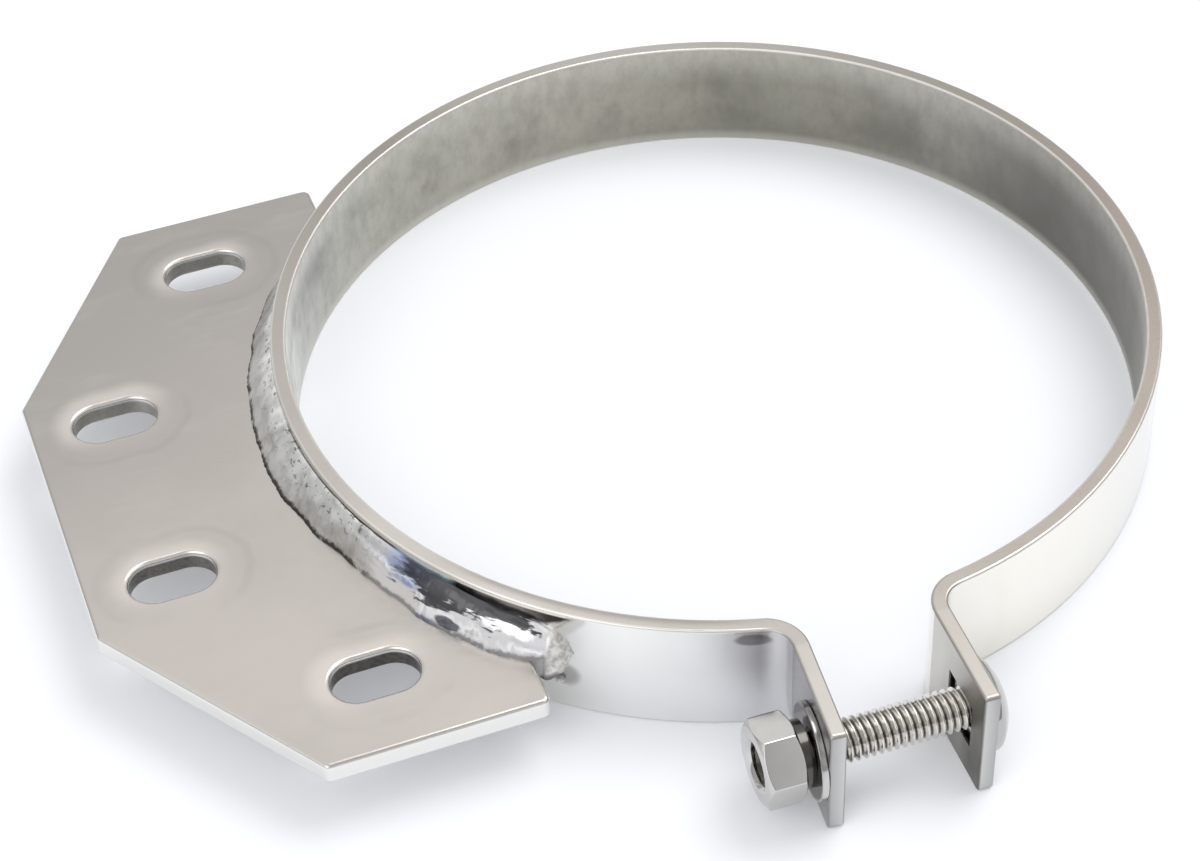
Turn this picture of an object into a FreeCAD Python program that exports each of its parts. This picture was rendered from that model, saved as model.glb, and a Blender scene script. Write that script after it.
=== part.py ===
import FreeCAD, Part
import math
import os

import Sketcher

# Exhaust stack mount bracket: a rolled flat-bar clamp band whose two ends fold out as ears,
# a flat slotted mounting plate welded to its side, and the bolt that draws the ears together.
# The origin is the centre of the ring at half its height, +Z is the ring's axis and the plate
# points along -X.

# Driving dimensions, in millimetres and degrees
SIZES = {
    # clamp band, one flat bar
    "band_inner_radius": 82.5,
    "band_thickness": 3.0,
    "band_width": 24.0,
    "band_edge_round": 0.5,
    # ears, the two ends of the bar
    "ear_azimuth": -94.1,
    "ear_length": 24.6,
    "ear_gap": 24.3,
    "ear_splay": 2.2,
    "ear_bend_radius": 4.8,
    "ear_corner_radius": 0.8,
    # mounting plate
    "plate_thickness": 4.4,
    "plate_rise": 0.5,
    "plate_width": 151.4,
    "plate_inner_reach": 60.5,
    "plate_side_length": 40.4,
    "plate_slant_reach": 29.6,
    "plate_outer_width": 63.8,
    "plate_inner_corner": 1.6,
    "plate_outer_corner": 1.2,
    "plate_edge_round": 0.8,
    # the four slots in the plate
    "slot_length": 16.2,
    "slot_width": 10.0,
    "outer_slot_setback": 16.2,
    "outer_slot_spacing": 44.7,
    "inner_slot_setback": 43.4,
    "inner_slot_spacing": 117.2,
    # weld beads between plate and band
    "upper_bead_plate_leg": 5.2,
    "upper_bead_band_leg": 7.4,
    "upper_bead_far_margin": 8.5,
    "upper_bead_overrun": 1.6,
    "lower_bead_leg": 4.6,
    "lower_bead_far_margin": 4.0,
    "lower_bead_near_margin": 10.0,
    "bead_face_bulge": 0.5,
    "lump_overrun": 2.8,
    "lump_half_length": 6.6,
    "lump_half_width": 5.2,
    "lump_half_height": 6.3,
    "lump_rise": 0.9,
    # 5/16 inch carriage bolt
    "bolt_diameter": 7.94,
    "bolt_length": 38.1,
    "bolt_end_chamfer": 0.9,
    "bolt_edge_distance": 8.9,
    "head_diameter": 17.4,
    "head_height": 4.9,
    "head_rim": 1.6,
    "neck_width": 7.95,
    "neck_length": 2.2,
    "neck_corner_radius": 1.0,
    # holes in the ears
    "square_hole_clearance": 0.9,
    "round_hole_clearance": 0.6,
    # washers and nut
    "washer_diameter": 17.5,
    "washer_thickness": 1.3,
    "washer_clearance": 0.4,
    "washer_edge_round": 0.25,
    "lock_washer_diameter": 12.2,
    "lock_washer_thickness": 2.0,
    "lock_washer_clearance": 0.3,
    "lock_washer_split": 1.2,
    "lock_washer_split_angle": 25.0,
    "nut_across_flats": 14.2,
    "nut_height": 7.0,
    "nut_chamfer_angle": 30.0,
    "nut_mouth": 0.7,
    "nut_phase": 46.0,
    "thread_clearance": 0.05,
    "stack_clearance": 0.05,
}

# Lengths that follow from the driving ones, as expressions on the sheet's cells
BAND_OUTER = "(Sizes.band_inner_radius + Sizes.band_thickness)"
EAR_TIP = f"({BAND_OUTER} + Sizes.ear_length)"
BOLT_RADIUS = f"({EAR_TIP} - Sizes.bolt_edge_distance)"
BOLT_TURN = "(Sizes.ear_azimuth + 90 + Sizes.ear_splay)"
# from the bolt's middle, square to an ear, to the inner and outer face of that ear
EAR_FACE = (
    "(Sizes.ear_gap / 2 * cos(Sizes.ear_splay * 1 deg)"
    " - Sizes.bolt_edge_distance * sin(Sizes.ear_splay * 1 deg))"
)
EAR_BACK = f"({EAR_FACE} + Sizes.band_thickness)"
BOLT_END = f"({EAR_BACK} - Sizes.bolt_length)"
# the bolt is square to the ear at its head, so the nut's ear leans by twice the splay
LEAN = "(2 * Sizes.ear_splay * 1 deg)"
WASHER_SEAT = f"({EAR_BACK} / cos({LEAN}))"
LOCK_SEAT = (
    f"(({EAR_BACK} + Sizes.washer_thickness + Sizes.lock_washer_diameter / 2 * sin({LEAN}))"
    f" / cos({LEAN}) + Sizes.stack_clearance)"
)
NUT_SEAT = f"({LOCK_SEAT} + Sizes.lock_washer_thickness)"
# the plate's mid-plane lies a little above the band's
PLATE_BOTTOM = "(Sizes.plate_rise - Sizes.plate_thickness / 2)"
BAND_BOTTOM = "(-Sizes.band_width / 2)"
PLATE_TOP = f"({PLATE_BOTTOM} + Sizes.plate_thickness)"
PLATE_SIDE_END = "(Sizes.plate_inner_reach + Sizes.plate_side_length)"
PLATE_REACH = f"({PLATE_SIDE_END} + Sizes.plate_slant_reach)"
# half the angle of the concave edge in which the band lies
SEAT_ANGLE = f"acos(Sizes.plate_inner_reach / {BAND_OUTER})"

doc = FreeCAD.newDocument("stack_bracket")
sheet = doc.addObject("Spreadsheet::Sheet", "Sizes")
for row, (size_name, size) in enumerate(SIZES.items(), start=1):
    sheet.set(f"A{row}", size_name)
    sheet.set(f"B{row}", str(size))
    sheet.setAlias(f"B{row}", size_name)
doc.recompute()


def amount(expression):
    """The present value of an expression, as a plain number."""
    found = sheet.evalExpression(expression)
    return float(getattr(found, "Value", found))


def add_body(label):
    body = doc.addObject("PartDesign::Body", label)
    body.Label = label
    return body


def add_sketch(body, name, role):
    """A sketch on one of the body's own origin planes."""
    sketch = body.newObject("Sketcher::SketchObject", name)
    plane = next(item for item in body.Origin.OriginFeatures if item.Role == role)
    sketch.AttachmentSupport = [(plane, "")]
    sketch.MapMode = "FlatFace"
    return sketch


def shift_sketch(sketch, x="0", y="0", z="0", turn="0", axis=(0, 0, 1)):
    """Move a sketch along its plane's own axes and turn it about one of them."""
    sketch.AttachmentOffset = FreeCAD.Placement(
        FreeCAD.Vector(), FreeCAD.Rotation(FreeCAD.Vector(*axis), 1)
    )
    sketch.setExpression("AttachmentOffset.Base.x", x)
    sketch.setExpression("AttachmentOffset.Base.y", y)
    sketch.setExpression("AttachmentOffset.Base.z", z)
    sketch.setExpression("AttachmentOffset.Rotation.Angle", f"({turn}) * 1 deg")


def line(sketch, start, end):
    return sketch.addGeometry(
        Part.LineSegment(FreeCAD.Vector(*start, 0), FreeCAD.Vector(*end, 0)), False
    )


def arc(sketch, centre, radius, first, last):
    """An arc drawn counter-clockwise between two angles in radians."""
    circle = Part.Circle(FreeCAD.Vector(*centre, 0), FreeCAD.Vector(0, 0, 1), radius)
    return sketch.addGeometry(Part.ArcOfCircle(circle, first, last), False)


def tie(sketch, kind, *items):
    return sketch.addConstraint(Sketcher.Constraint(kind, *items))


def drive(sketch, kind, expression, *items):
    """A dimension whose value follows an expression on the sheet."""
    value = amount(expression)
    if kind == "Angle":
        value = math.radians(value)
    index = tie(sketch, kind, *items, value)
    sketch.setExpression(f"Constraints[{index}]", expression)


def pin_point(sketch, edge, end, x, y):
    """Hold an end of an edge at a place given by two signed expressions."""
    for kind, axis, expression in (("DistanceX", -2, x), ("DistanceY", -1, y)):
        if expression == "0":
            tie(sketch, "PointOnObject", edge, end, axis)
        elif amount(expression) < 0:
            drive(sketch, kind, f"-({expression})", edge, end, -1, 1)
        else:
            drive(sketch, kind, expression, -1, 1, edge, end)


def closed_loop(sketch, corners):
    """Straight edges from corner to corner, joined end to end."""
    count = len(corners)
    edges = [line(sketch, corners[i], corners[(i + 1) % count]) for i in range(count)]
    for i in range(count):
        tie(sketch, "Coincident", edges[i], 2, edges[(i + 1) % count], 1)
    return edges


def polygon(sketch, corners):
    """A closed outline whose corners are pairs of signed expressions."""
    places = [(amount(x), amount(y)) for x, y in corners]
    edges = closed_loop(sketch, places)
    for edge, (x, y) in zip(edges, corners):
        pin_point(sketch, edge, 1, x, y)
    return edges


def centred_box(sketch, width, height):
    """A rectangle with its middle on the sketch's origin."""
    half_x = amount(width) / 2
    half_y = amount(height) / 2
    corners = [(-half_x, -half_y), (half_x, -half_y), (half_x, half_y), (-half_x, half_y)]
    low, right, high, left = closed_loop(sketch, corners)
    tie(sketch, "Horizontal", low)
    tie(sketch, "Horizontal", high)
    tie(sketch, "Vertical", right)
    tie(sketch, "Vertical", left)
    tie(sketch, "Symmetric", low, 1, high, 1, -1, 1)
    drive(sketch, "DistanceX", width, low, 1, low, 2)
    drive(sketch, "DistanceY", height, right, 1, right, 2)


def circle(sketch, radius):
    """A circle about the sketch's origin."""
    round_edge = sketch.addGeometry(
        Part.Circle(FreeCAD.Vector(), FreeCAD.Vector(0, 0, 1), amount(radius)), False
    )
    tie(sketch, "Coincident", round_edge, 3, -1, 1)
    drive(sketch, "Radius", radius, round_edge)
    return round_edge


def obround(sketch, x, y, length, width):
    """A slot along X with round ends, about a centre given by signed expressions."""
    radius = amount(width) / 2
    reach = amount(length) / 2 - radius
    middle = (amount(x), amount(y))
    near = (middle[0] - reach, middle[1])
    far = (middle[0] + reach, middle[1])
    near_end = arc(sketch, near, radius, math.pi / 2, 3 * math.pi / 2)
    far_end = arc(sketch, far, radius, -math.pi / 2, math.pi / 2)
    low = line(sketch, (near[0], near[1] - radius), (far[0], far[1] - radius))
    high = line(sketch, (far[0], far[1] + radius), (near[0], near[1] + radius))
    tie(sketch, "Tangent", near_end, 2, low, 1)
    tie(sketch, "Tangent", low, 2, far_end, 1)
    tie(sketch, "Tangent", far_end, 2, high, 1)
    tie(sketch, "Tangent", high, 2, near_end, 1)
    tie(sketch, "Equal", near_end, far_end)
    tie(sketch, "Horizontal", low)
    drive(sketch, "Radius", f"{width} / 2", near_end)
    pin_point(sketch, near_end, 3, f"{x} - ({length} - {width}) / 2", y)
    drive(sketch, "DistanceX", f"{length} - {width}", near_end, 3, far_end, 3)


def pad(body, sketch, name, length):
    feature = body.newObject("PartDesign::Pad", name)
    feature.Profile = sketch
    feature.setExpression("Length", length)
    return feature


def turned(body, sketch, name, kind, axis):
    """A full turn of a profile about one of its sketch's axes."""
    feature = body.newObject(kind, name)
    feature.Profile = sketch
    feature.ReferenceAxis = (sketch, [axis])
    feature.Angle = 360
    return feature


def cut_through(body, sketch, name, reversed_cut=False, both_ways=False):
    """A pocket that runs out of the solid on one or both sides of its sketch."""
    doc.recompute()
    before = body.Shape.Volume
    feature = body.newObject("PartDesign::Pocket", name)
    feature.Profile = sketch
    feature.Type = "ThroughAll"
    feature.Reversed = reversed_cut
    feature.Midplane = both_ways
    doc.recompute()
    if not body.Shape.Volume < before - 1e-3:
        raise RuntimeError(f"{name} cuts nothing")
    return feature


def round_edges(body, base, name, chosen, radius):
    """Round the edges of a feature that a test picks."""
    doc.recompute()
    names = [f"Edge{i}" for i, edge in enumerate(base.Shape.Edges, start=1) if chosen(edge)]
    feature = body.newObject("PartDesign::Fillet", name)
    feature.Base = (base, names)
    feature.setExpression("Radius", radius)
    doc.recompute()
    return feature


def runs_along(edge, direction):
    """True for a straight edge that runs along a direction."""
    if not isinstance(edge.Curve, Part.Line):
        return False
    return edge.Curve.Direction.cross(FreeCAD.Vector(*direction)).Length < 1e-6


def lies_at(edge, axis, value):
    """True for an edge that lies wholly in the plane where one coordinate has a value."""
    low = getattr(edge.BoundBox, f"{axis}Min")
    high = getattr(edge.BoundBox, f"{axis}Max")
    return abs(low - value) < 1e-6 and abs(high - value) < 1e-6


def place(item, turn, x="0", y="0", z="0"):
    """Put a sub-part at a point and turn it about the vertical."""
    item.Placement = FreeCAD.Placement(
        FreeCAD.Vector(), FreeCAD.Rotation(FreeCAD.Vector(0, 0, 1), 1)
    )
    item.setExpression("Placement.Base.x", x)
    item.setExpression("Placement.Base.y", y)
    item.setExpression("Placement.Base.z", z)
    item.setExpression("Placement.Rotation.Angle", f"({turn}) * 1 deg")


def place_on_bolt(item, seat="0", turn=BOLT_TURN, drop="0"):
    """Put a sub-part on the bolt's line, at a distance from its middle towards the nut.

    drop lets a loose sub-part hang below the line.
    """
    place(
        item,
        turn,
        f"{BOLT_RADIUS} * cos(Sizes.ear_azimuth * 1 deg) - {seat} * cos({BOLT_TURN} * 1 deg)",
        f"{BOLT_RADIUS} * sin(Sizes.ear_azimuth * 1 deg) - {seat} * sin({BOLT_TURN} * 1 deg)",
        f"-{drop}",
    )


def draw_bar_end(sketch, inner_ring, outer_ring, side):
    """One folded end of the bar: two concentric bend arcs and the three edges of the ear.

    side is 1 for the ear at +y and -1 for the ear at -y. Each ear edge is drawn from the
    ring outwards and back.
    """
    splay = math.radians(amount("Sizes.ear_splay"))
    along = (math.cos(splay), math.sin(splay))
    across = (-math.sin(splay), math.cos(splay))
    thickness = amount("Sizes.band_thickness")
    small = amount("Sizes.ear_bend_radius")
    large = small + thickness
    tip = (amount(EAR_TIP), amount("Sizes.ear_gap") / 2)

    # the bends' centre is one bend radius off the outside of the ring and off the ear
    start = (tip[0] + large * across[0], tip[1] + large * across[1])
    middle = start[0] * along[0] + start[1] * along[1]
    spread = (amount(BAND_OUTER) + small) ** 2 - start[0] ** 2 - start[1] ** 2
    back = middle - math.sqrt(middle**2 + spread)
    centre = (start[0] - back * along[0], start[1] - back * along[1])
    heading = math.atan2(centre[1], centre[0])

    def mirrored(place_on_sketch):
        return (place_on_sketch[0], side * place_on_sketch[1])

    def offset(origin, distance):
        return (origin[0] + distance * across[0], origin[1] + distance * across[1])

    if side > 0:
        first, last = heading + math.pi, splay + 3 * math.pi / 2
        at_ring, at_ear = 1, 2
    else:
        first, last = math.pi / 2 - splay, math.pi - heading
        at_ring, at_ear = 2, 1
    convex = arc(sketch, mirrored(centre), large, first, last)
    concave = arc(sketch, mirrored(centre), small, first, last)
    inner = line(sketch, mirrored(offset(centre, -large)), mirrored(tip))
    end = line(sketch, mirrored(tip), mirrored(offset(tip, thickness)))
    outer = line(sketch, mirrored(offset(tip, thickness)), mirrored(offset(centre, -small)))

    ring_end = 1 if side > 0 else 2
    tie(sketch, "Tangent", inner_ring, ring_end, convex, at_ring)
    tie(sketch, "Tangent", outer_ring, ring_end, concave, at_ring)
    tie(sketch, "Tangent", convex, at_ear, inner, 1)
    tie(sketch, "Tangent", concave, at_ear, outer, 2)
    tie(sketch, "Coincident", inner, 2, end, 1)
    tie(sketch, "Coincident", end, 2, outer, 1)
    tie(sketch, "Coincident", convex, 3, concave, 3)
    tie(sketch, "Perpendicular", inner, end)
    tie(sketch, "Parallel", inner, outer)
    drive(sketch, "Radius", "Sizes.ear_bend_radius", concave)
    drive(sketch, "Angle", f"{side} * Sizes.ear_splay * 1 deg", inner)
    pin_point(sketch, inner, 2, EAR_TIP, f"{side} * Sizes.ear_gap / 2")


def make_clamp_band():
    """The flat bar, drawn edge on with +x towards the gap, and the holes in its ears."""
    body = add_body("clamp_band")
    outline = add_sketch(body, "bar_outline", "XY_Plane")
    shift_sketch(outline, z=BAND_BOTTOM)
    inner_radius = amount("Sizes.band_inner_radius")
    outer_radius = amount(BAND_OUTER)
    inner_ring = arc(outline, (0, 0), inner_radius, 0.2, 2 * math.pi - 0.2)
    outer_ring = arc(outline, (0, 0), outer_radius, 0.2, 2 * math.pi - 0.2)
    for side in (1, -1):
        draw_bar_end(outline, inner_ring, outer_ring, side)
    tie(outline, "Coincident", inner_ring, 3, -1, 1)
    tie(outline, "Coincident", outer_ring, 3, -1, 1)
    drive(outline, "Radius", "Sizes.band_inner_radius", inner_ring)
    drive(outline, "Radius", BAND_OUTER, outer_ring)
    bar = pad(body, outline, "bar", "Sizes.band_width")

    tip_start = amount(f"{EAR_TIP} - Sizes.band_thickness")
    half_width = amount("Sizes.band_width / 2")

    def is_ear_corner(edge):
        return edge.BoundBox.XMin > tip_start and edge.BoundBox.ZLength < half_width

    corners = round_edges(body, bar, "ear_corners", is_ear_corner, "Sizes.ear_corner_radius")

    def is_rolled_edge(edge):
        return lies_at(edge, "Z", -half_width) or lies_at(edge, "Z", half_width)

    round_edges(body, corners, "rolled_edges", is_rolled_edge, "Sizes.band_edge_round")

    square_hole = add_sketch(body, "square_hole_outline", "XZ_Plane")
    shift_sketch(square_hole, BOLT_RADIUS, turn="Sizes.ear_splay", axis=(0, 1, 0))
    hole_width = "(Sizes.neck_width + 2 * Sizes.square_hole_clearance)"
    centred_box(square_hole, hole_width, hole_width)
    cut_through(body, square_hole, "square_hole")

    round_hole = add_sketch(body, "round_hole_outline", "XZ_Plane")
    shift_sketch(round_hole, BOLT_RADIUS, turn="Sizes.ear_splay", axis=(0, 1, 0))
    circle(round_hole, "Sizes.bolt_diameter / 2 + Sizes.round_hole_clearance")
    cut_through(body, round_hole, "round_hole", reversed_cut=True)
    place(body, "Sizes.ear_azimuth")
    return body


def make_mount_plate():
    """The flat plate, drawn with +x away from the ring, and its four slots."""
    body = add_body("mount_plate")
    outline = add_sketch(body, "plate_outline", "XY_Plane")
    shift_sketch(outline, z=PLATE_BOTTOM)
    half_width = "(Sizes.plate_width / 2)"
    half_outer = "(Sizes.plate_outer_width / 2)"
    reach = amount("Sizes.plate_inner_reach")
    seat = math.radians(amount(SEAT_ANGLE))
    radius = amount(BAND_OUTER)
    corner = (reach, radius * math.sin(seat))
    path = [
        ("Sizes.plate_inner_reach", f"-{half_width}"),
        (PLATE_SIDE_END, f"-{half_width}"),
        (PLATE_REACH, f"-{half_outer}"),
        (PLATE_REACH, half_outer),
        (PLATE_SIDE_END, half_width),
        ("Sizes.plate_inner_reach", half_width),
    ]
    places = [(corner[0], -corner[1])] + [(amount(x), amount(y)) for x, y in path] + [corner]
    edges = [line(outline, a, b) for a, b in zip(places, places[1:])]
    for before, after in zip(edges, edges[1:]):
        tie(outline, "Coincident", before, 2, after, 1)
    for edge, (x, y) in zip(edges[1:], path):
        pin_point(outline, edge, 1, x, y)
    tie(outline, "Vertical", edges[0])
    tie(outline, "Vertical", edges[-1])
    saddle = arc(outline, (0, 0), radius, -seat, seat)
    tie(outline, "Coincident", saddle, 3, -1, 1)
    tie(outline, "Coincident", saddle, 1, edges[0], 1)
    tie(outline, "Coincident", saddle, 2, edges[-1], 2)
    drive(outline, "Radius", BAND_OUTER, saddle)
    blank = pad(body, outline, "blank", "Sizes.plate_thickness")

    doc.recompute()
    side_end = amount(PLATE_SIDE_END)

    def is_inner_corner(edge):
        box = edge.BoundBox
        return runs_along(edge, (0, 0, 1)) and box.XMax < reach + 1e-6 and abs(box.YMax) > corner[1] + 1

    def is_outer_corner(edge):
        return runs_along(edge, (0, 0, 1)) and edge.BoundBox.XMin > side_end - 1e-6

    inner_corners = round_edges(
        body, blank, "inner_corners", is_inner_corner, "Sizes.plate_inner_corner"
    )
    outer_corners = round_edges(
        body, inner_corners, "outer_corners", is_outer_corner, "Sizes.plate_outer_corner"
    )

    slots = add_sketch(body, "slot_outlines", "XY_Plane")
    shift_sketch(slots, z=PLATE_BOTTOM)
    for setback, spacing in (
        ("Sizes.outer_slot_setback", "Sizes.outer_slot_spacing"),
        ("Sizes.inner_slot_setback", "Sizes.inner_slot_spacing"),
    ):
        for side in (1, -1):
            obround(
                slots,
                f"({PLATE_REACH} - {setback})",
                f"({side} * {spacing} / 2)",
                "Sizes.slot_length",
                "Sizes.slot_width",
            )
    punched = cut_through(body, slots, "slots", both_ways=True)

    bottom = amount(PLATE_BOTTOM)
    top = amount(PLATE_TOP)

    def is_rim(edge):
        on_face = lies_at(edge, "Z", bottom) or lies_at(edge, "Z", top)
        on_band = isinstance(edge.Curve, Part.Circle) and abs(edge.Curve.Radius - radius) < 1e-6
        return on_face and not on_band

    round_edges(body, punched, "polished_edges", is_rim, "Sizes.plate_edge_round")
    place(body, "180")
    return body


def make_bead_run(label, foot, plate_leg, band_leg, direction, far_margin, near_margin):
    """A fillet weld swept round the band, on the plate's upper or lower face.

    The margins are how far it stops short of the plate's corners on the band.
    """
    body = add_body(label)
    profile = add_sketch(body, f"{label}_section", "XZ_Plane")
    band_x = amount(BAND_OUTER)
    foot_z = amount(foot)
    across = amount(plate_leg)
    up = amount(band_leg) * direction
    bulge = amount("Sizes.bead_face_bulge")
    chord = math.hypot(across, up)
    radius = chord**2 / (8 * bulge) + bulge / 2
    toe = (band_x + across, foot_z)
    crest = (band_x, foot_z + up)
    outward = (abs(up) / chord, across / chord * direction)
    centre = (
        (toe[0] + crest[0]) / 2 - outward[0] * (radius - bulge),
        (toe[1] + crest[1]) / 2 - outward[1] * (radius - bulge),
    )
    toe_angle = math.atan2(toe[1] - centre[1], toe[0] - centre[0])
    crest_angle = math.atan2(crest[1] - centre[1], crest[0] - centre[0])
    on_plate = line(profile, (band_x, foot_z), toe)
    on_band = line(profile, crest, (band_x, foot_z))
    face = arc(profile, centre, radius, min(toe_angle, crest_angle), max(toe_angle, crest_angle))
    toe_end, crest_end = (1, 2) if direction > 0 else (2, 1)
    tie(profile, "Coincident", on_band, 2, on_plate, 1)
    tie(profile, "Coincident", on_plate, 2, face, toe_end)
    tie(profile, "Coincident", face, crest_end, on_band, 1)
    tie(profile, "Horizontal", on_plate)
    tie(profile, "Vertical", on_band)
    pin_point(profile, on_plate, 1, BAND_OUTER, foot)
    drive(profile, "DistanceX", plate_leg, on_plate, 1, on_plate, 2)
    if direction > 0:
        drive(profile, "DistanceY", band_leg, on_band, 2, on_band, 1)
    else:
        drive(profile, "DistanceY", band_leg, on_band, 1, on_band, 2)
    drive(
        profile,
        "Radius",
        f"({plate_leg}^2 + {band_leg}^2) / (8 * Sizes.bead_face_bulge) + Sizes.bead_face_bulge / 2",
        face,
    )
    run = body.newObject("PartDesign::Revolution", f"{label}_run")
    run.Profile = profile
    run.ReferenceAxis = (profile, ["V_Axis"])
    run.Midplane = True
    run.setExpression(
        "Angle", f"2 * {SEAT_ANGLE} - ({far_margin} + {near_margin}) / {BAND_OUTER} * 1 rad"
    )
    place(body, "180")
    body.setExpression(
        "Placement.Rotation.Angle",
        f"180 * 1 deg + ({far_margin} - ({near_margin})) / (2 * {BAND_OUTER}) * 1 rad",
    )
    return body


def make_upper_bead(plate):
    """The upper bead, with the lump in which it ends past the plate's corner."""
    run = make_bead_run(
        "upper_bead_run",
        PLATE_TOP,
        "Sizes.upper_bead_plate_leg",
        "Sizes.upper_bead_band_leg",
        1,
        "Sizes.upper_bead_far_margin",
        "-Sizes.upper_bead_overrun",
    )
    lump = doc.addObject("Part::Ellipsoid", "bead_lump")
    lump.setExpression("Radius1", "Sizes.lump_half_height")
    lump.setExpression("Radius2", "Sizes.lump_half_width")
    lump.setExpression("Radius3", "Sizes.lump_half_length")
    turn = f"(180 * 1 deg + {SEAT_ANGLE} + Sizes.lump_overrun / {BAND_OUTER} * 1 rad)"
    place(
        lump,
        "0",
        f"{BAND_OUTER} * cos({turn})",
        f"{BAND_OUTER} * sin({turn})",
        f"{PLATE_TOP} + Sizes.lump_rise",
    )
    lump.setExpression("Placement.Rotation.Angle", turn)

    band_core = doc.addObject("Part::Cylinder", "band_core")
    band_core.setExpression("Radius", BAND_OUTER)
    band_core.setExpression("Height", "Sizes.band_width")
    place(band_core, "0", z=BAND_BOTTOM)
    joined = doc.addObject("Part::Fuse", "bead_and_lump")
    joined.Base = run
    joined.Tool = lump
    off_band = doc.addObject("Part::Cut", "bead_off_band")
    off_band.Base = joined
    off_band.Tool = band_core
    bead = doc.addObject("Part::Cut", "weld_bead_upper")
    bead.Label = "weld_bead_upper"
    bead.Base = off_band
    bead.Tool = plate
    for feature in (joined, off_band, bead):
        feature.Refine = False
    return bead


def make_lower_bead():
    return make_bead_run(
        "weld_bead_lower",
        PLATE_BOTTOM,
        "Sizes.lower_bead_leg",
        "Sizes.lower_bead_leg",
        -1,
        "Sizes.lower_bead_far_margin",
        "Sizes.lower_bead_near_margin",
    )


def make_carriage_bolt():
    """Domed head, square neck and shank, along X with the head at +x."""
    body = add_body("carriage_bolt")
    shank_radius = "(Sizes.bolt_diameter / 2)"
    shank_outline = add_sketch(body, "shank_outline", "XY_Plane")
    polygon(
        shank_outline,
        [
            (BOLT_END, "0"),
            (EAR_BACK, "0"),
            (EAR_BACK, shank_radius),
            (f"({BOLT_END} + Sizes.bolt_end_chamfer)", shank_radius),
            (BOLT_END, f"({shank_radius} - Sizes.bolt_end_chamfer)"),
        ],
    )
    turned(body, shank_outline, "shank", "PartDesign::Revolution", "H_Axis")

    neck_outline = add_sketch(body, "neck_outline", "YZ_Plane")
    neck_start = f"({EAR_BACK} - Sizes.neck_length)"
    shift_sketch(neck_outline, z=neck_start)
    centred_box(neck_outline, "Sizes.neck_width", "Sizes.neck_width")
    neck = pad(body, neck_outline, "neck", "Sizes.neck_length")
    rounded_neck = round_edges(
        body,
        neck,
        "neck_corners",
        lambda edge: runs_along(edge, (1, 0, 0)) and edge.BoundBox.XMin > amount(neck_start) - 1e-6,
        "Sizes.neck_corner_radius",
    )

    dome_outline = add_sketch(body, "dome_outline", "XY_Plane")
    seat = amount(EAR_BACK)
    head_radius = amount("Sizes.head_diameter") / 2
    rim = amount("Sizes.head_rim")
    rise = amount("Sizes.head_height") - rim
    dome_radius = (rise**2 + head_radius**2) / (2 * rise)
    dome_centre = seat + amount("Sizes.head_height") - dome_radius
    top = (seat + amount("Sizes.head_height"), 0)
    axis_line = line(dome_outline, top, (seat, 0))
    seat_line = line(dome_outline, (seat, 0), (seat, head_radius))
    rim_line = line(dome_outline, (seat, head_radius), (seat + rim, head_radius))
    shoulder = math.atan2(head_radius, seat + rim - dome_centre)
    dome = arc(dome_outline, (dome_centre, 0), dome_radius, 0, shoulder)
    tie(dome_outline, "Coincident", axis_line, 2, seat_line, 1)
    tie(dome_outline, "Coincident", seat_line, 2, rim_line, 1)
    tie(dome_outline, "Coincident", rim_line, 2, dome, 2)
    tie(dome_outline, "Coincident", dome, 1, axis_line, 1)
    tie(dome_outline, "PointOnObject", dome, 3, -1)
    pin_point(dome_outline, axis_line, 1, f"({EAR_BACK} + Sizes.head_height)", "0")
    pin_point(dome_outline, seat_line, 1, EAR_BACK, "0")
    pin_point(dome_outline, rim_line, 1, EAR_BACK, "(Sizes.head_diameter / 2)")
    pin_point(
        dome_outline, rim_line, 2, f"({EAR_BACK} + Sizes.head_rim)", "(Sizes.head_diameter / 2)"
    )
    turned(body, dome_outline, "head", "PartDesign::Revolution", "H_Axis")
    place_on_bolt(body)
    return body


def ring_section(sketch, bore_radius, outer_radius, near, far):
    """The section of a ring about X between two signed distances along it."""
    polygon(
        sketch,
        [(near, bore_radius), (far, bore_radius), (far, outer_radius), (near, outer_radius)],
    )


def make_flat_washer():
    """A plain washer that lies flat on the nut's ear."""
    body = add_body("flat_washer")
    section = add_sketch(body, "washer_section", "XY_Plane")
    ring_section(
        section,
        "(Sizes.bolt_diameter / 2 + Sizes.washer_clearance)",
        "(Sizes.washer_diameter / 2)",
        "(-Sizes.washer_thickness)",
        "0",
    )
    disc = turned(body, section, "washer_disc", "PartDesign::Revolution", "H_Axis")
    outer_radius = amount("Sizes.washer_diameter") / 2
    round_edges(
        body,
        disc,
        "washer_rim",
        lambda edge: isinstance(edge.Curve, Part.Circle)
        and abs(edge.Curve.Radius - outer_radius) < 1e-6,
        "Sizes.washer_edge_round",
    )
    place_on_bolt(
        body,
        WASHER_SEAT,
        f"({BOLT_TURN} - 2 * Sizes.ear_splay)",
        "(Sizes.washer_clearance - Sizes.stack_clearance)",
    )
    return body


def make_lock_washer():
    """A split spring washer, with its slanted split underneath."""
    body = add_body("lock_washer")
    section = add_sketch(body, "lock_washer_section", "XY_Plane")
    ring_section(
        section,
        "(Sizes.bolt_diameter / 2 + Sizes.lock_washer_clearance)",
        "(Sizes.lock_washer_diameter / 2)",
        "(-Sizes.lock_washer_thickness)",
        "0",
    )
    turned(body, section, "lock_washer_ring", "PartDesign::Revolution", "H_Axis")
    split = add_sketch(body, "split_outline", "XY_Plane")
    shift_sketch(
        split, "-Sizes.lock_washer_thickness / 2", turn="90 - Sizes.lock_washer_split_angle"
    )
    centred_box(split, "Sizes.lock_washer_split", "(3 * Sizes.lock_washer_thickness)")
    cut_through(body, split, "split")
    place_on_bolt(
        body, LOCK_SEAT, drop="(Sizes.lock_washer_clearance - Sizes.stack_clearance)"
    )
    return body


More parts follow.
